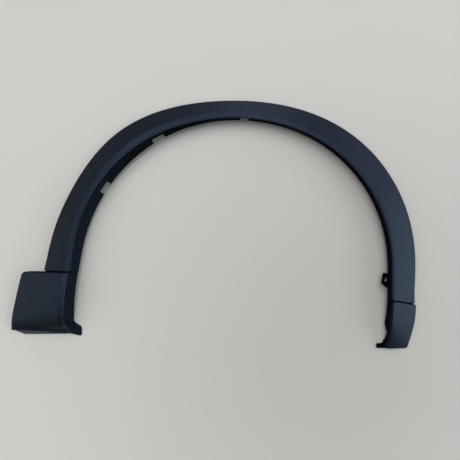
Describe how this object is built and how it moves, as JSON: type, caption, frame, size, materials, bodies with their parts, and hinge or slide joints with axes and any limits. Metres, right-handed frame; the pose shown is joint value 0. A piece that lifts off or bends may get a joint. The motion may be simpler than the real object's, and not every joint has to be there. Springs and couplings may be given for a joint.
{
  "type": "wheel arch trim",
  "caption": "Arched plastic moulding that covers the edge of a car's wheel opening, with a broad foot at one end, a return flange with notches, and clip seats behind.",
  "frame": {"origin": "middle of the box around the trim, on the surface that it lies on", "axes": "+X along the car towards the narrow end, +Y up the car's side towards the crown, +Z out from the car's side, through the show face"},
  "size_m": [1.0944, 0.675, 0.0712],
  "materials": {
    "grained_plastic": "fine moulded grain, satin blue-black, moulded in colour"
  },
  "bodies": {
    "root": {"wheel_arch_trim": "grained_plastic"}
  },
  "joints": []
}
